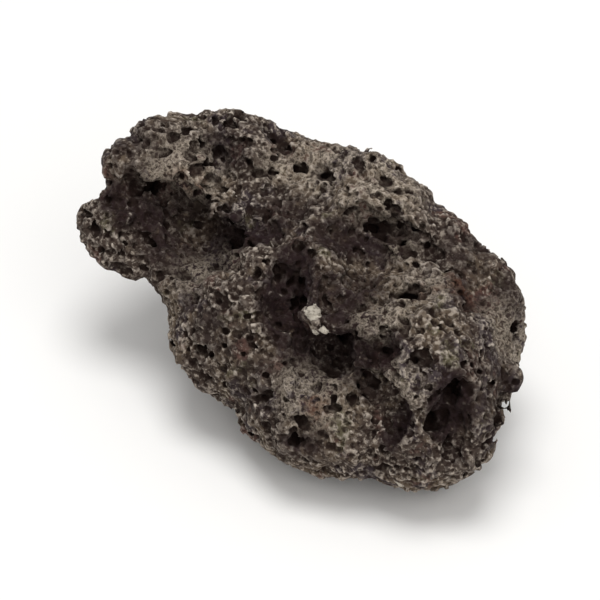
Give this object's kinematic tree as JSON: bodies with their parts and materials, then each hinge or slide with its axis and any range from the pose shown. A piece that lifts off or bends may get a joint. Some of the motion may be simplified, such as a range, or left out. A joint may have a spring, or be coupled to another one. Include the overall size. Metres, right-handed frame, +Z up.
{
  "type": "lava rock",
  "caption": "Irregular dark grey-brown lava rock, full of gas bubbles, knobbed at one end, lying on a flat broken face.",
  "frame": {"origin": "middle of the bounding box, on the surface that the stone lies on", "axes": "+X along the stone from its knobbed end to its broad end, +Z up from the resting face, +Y to the back of the stone"},
  "size_m": [0.067, 0.0374, 0.0323],
  "materials": {
    "basalt": "rough, matt, pitted with open gas bubbles, dusty grey-brown outside and nearly black in the bubbles"
  },
  "bodies": {
    "root": {"lava_rock": "basalt"}
  },
  "joints": []
}
